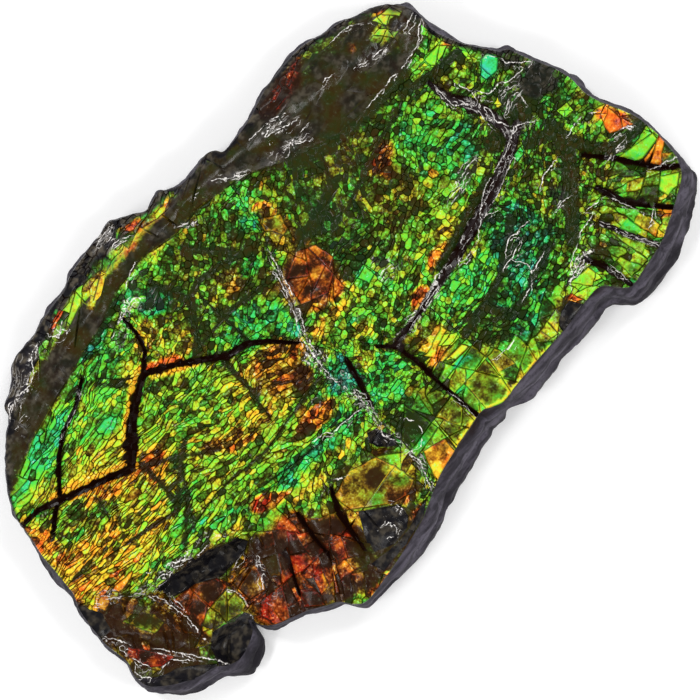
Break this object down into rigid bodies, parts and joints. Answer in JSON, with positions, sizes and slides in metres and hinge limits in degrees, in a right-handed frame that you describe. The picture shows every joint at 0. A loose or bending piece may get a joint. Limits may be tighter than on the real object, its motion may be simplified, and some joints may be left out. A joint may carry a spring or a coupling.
{
  "type": "ammolite specimen",
  "caption": "Flat hand-sized slab of dark rock with a crushed, crackled iridescent fossil shell face, ledges and ribs; lies on its flat back.",
  "frame": {"origin": "middle of the slab's footprint, on the surface that its flat back rests on", "axes": "+X along the slab's longest side, +Y across it towards the raised shoulder, +Z out of the shell face"},
  "size_m": [0.1226, 0.0746, 0.0124],
  "materials": {
    "shell_and_rock": "wet-looking crackled nacre in greens, golds and reds over matte dark grey shale"
  },
  "bodies": {
    "root": {"ammolite_slab": "shell_and_rock"}
  },
  "joints": []
}
